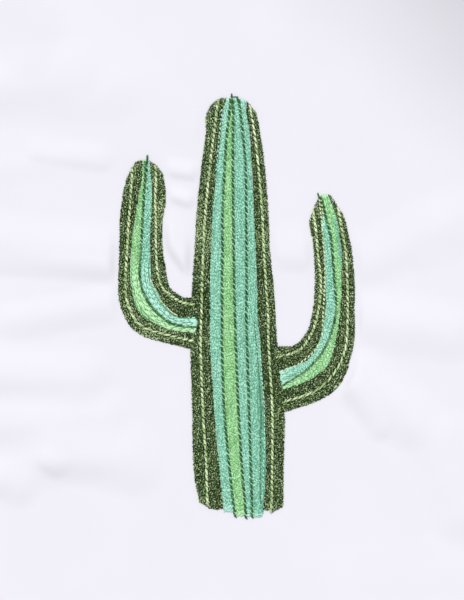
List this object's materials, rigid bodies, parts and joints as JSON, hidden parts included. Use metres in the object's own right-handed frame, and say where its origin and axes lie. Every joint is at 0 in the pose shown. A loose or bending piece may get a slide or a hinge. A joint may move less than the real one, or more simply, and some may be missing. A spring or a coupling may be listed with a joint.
{
  "type": "embroidered cloth panel",
  "caption": "Flat cloth panel embroidered with a ribbed cactus with raised arms, in runs of green and teal thread edged with pale outline stitches.",
  "frame": {"origin": "the middle of the panel's underside, on the surface that it lies on", "axes": "+Z out of the embroidered face, +Y up the cactus, +X to the picture's right"},
  "size_m": [0.216, 0.272, 0.0021],
  "materials": {
    "cloth": "matt woven cotton, white with a faint lavender cast",
    "dark_green_thread": "satin embroidery thread",
    "pale_green_thread": "satin embroidery thread",
    "light_green_thread": "satin embroidery thread",
    "teal_thread": "satin embroidery thread"
  },
  "bodies": {
    "root": {"cloth_panel": "cloth", "trunk_dark_left_outer": "dark_green_thread", "trunk_dark_left_inner": "dark_green_thread", "trunk_teal_left": "teal_thread", "trunk_light_green": "light_green_thread", "trunk_teal_middle": "teal_thread", "trunk_teal_right": "teal_thread", "trunk_dark_right_inner": "dark_green_thread", "trunk_dark_right_outer": "dark_green_thread", "trunk_pale_line_left": "pale_green_thread", "trunk_dark_line_left": "dark_green_thread", "trunk_dark_line_middle": "dark_green_thread", "trunk_dark_line_right": "dark_green_thread", "trunk_pale_line_right": "pale_green_thread", "trunk_thread_end": "dark_green_thread", "left_arm_dark_outer": "dark_green_thread", "left_arm_dark_beside_green": "dark_green_thread", "left_arm_light_green": "light_green_thread", "left_arm_teal": "teal_thread", "left_arm_dark_beside_teal": "dark_green_thread", "left_arm_dark_inner": "dark_green_thread", "left_arm_pale_line_outer": "pale_green_thread", "left_arm_dark_line": "dark_green_thread", "left_arm_pale_line_inner": "pale_green_thread", "left_arm_thread_end": "dark_green_thread", "right_arm_dark_outer": "dark_green_thread", "right_arm_dark_beside_green": "dark_green_thread", "right_arm_light_green": "light_green_thread", "right_arm_teal": "teal_thread", "right_arm_dark_beside_teal": "dark_green_thread", "right_arm_dark_inner": "dark_green_thread", "right_arm_pale_line_outer": "pale_green_thread", "right_arm_dark_line": "dark_green_thread", "right_arm_pale_line_inner": "pale_green_thread", "right_arm_thread_end": "dark_green_thread"}
  },
  "joints": []
}
